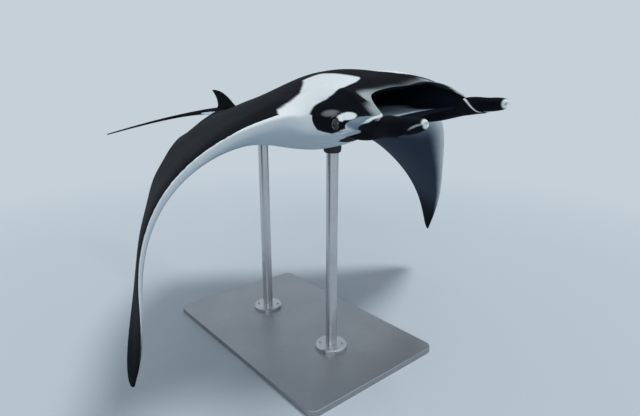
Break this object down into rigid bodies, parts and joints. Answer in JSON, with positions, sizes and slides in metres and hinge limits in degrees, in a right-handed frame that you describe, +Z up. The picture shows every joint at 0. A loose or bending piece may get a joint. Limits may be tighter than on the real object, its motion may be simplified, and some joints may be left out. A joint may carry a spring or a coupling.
{
  "type": "manta ray",
  "caption": "Life-size manta ray gliding with both wings carried down, horned head and open mouth, on a flat stand with upright rods.",
  "frame": {"origin": "middle of the underside of the stand base, on the floor", "axes": "+Z up, head toward -Y, the animal's left toward +X"},
  "size_m": [3.0393, 4.4315, 1.9048],
  "materials": {
    "skin": "smooth naked skin, satin, charcoal black above and white below",
    "eye": "wet gloss",
    "stand": "satin"
  },
  "bodies": {
    "root": {"head": "skin", "trunk": "skin", "wing_right_inner": "skin", "wing_right_middle": "skin", "wing_right_tip": "skin", "wing_left_inner": "skin", "wing_left_middle": "skin", "wing_left_tip": "skin", "lobe_right": "skin", "lobe_left": "skin", "dorsal_fin": "skin", "pelvic_fin_right": "skin", "pelvic_fin_left": "skin", "tail_base": "skin", "tail_middle": "skin", "tail_whip": "skin", "eye_right": "eye", "eye_left": "eye", "stand_base": "stand", "stand_flange_front": "stand", "stand_flange_rear": "stand", "stand_rod_front": "stand", "stand_rod_rear": "stand"}
  },
  "joints": []
}
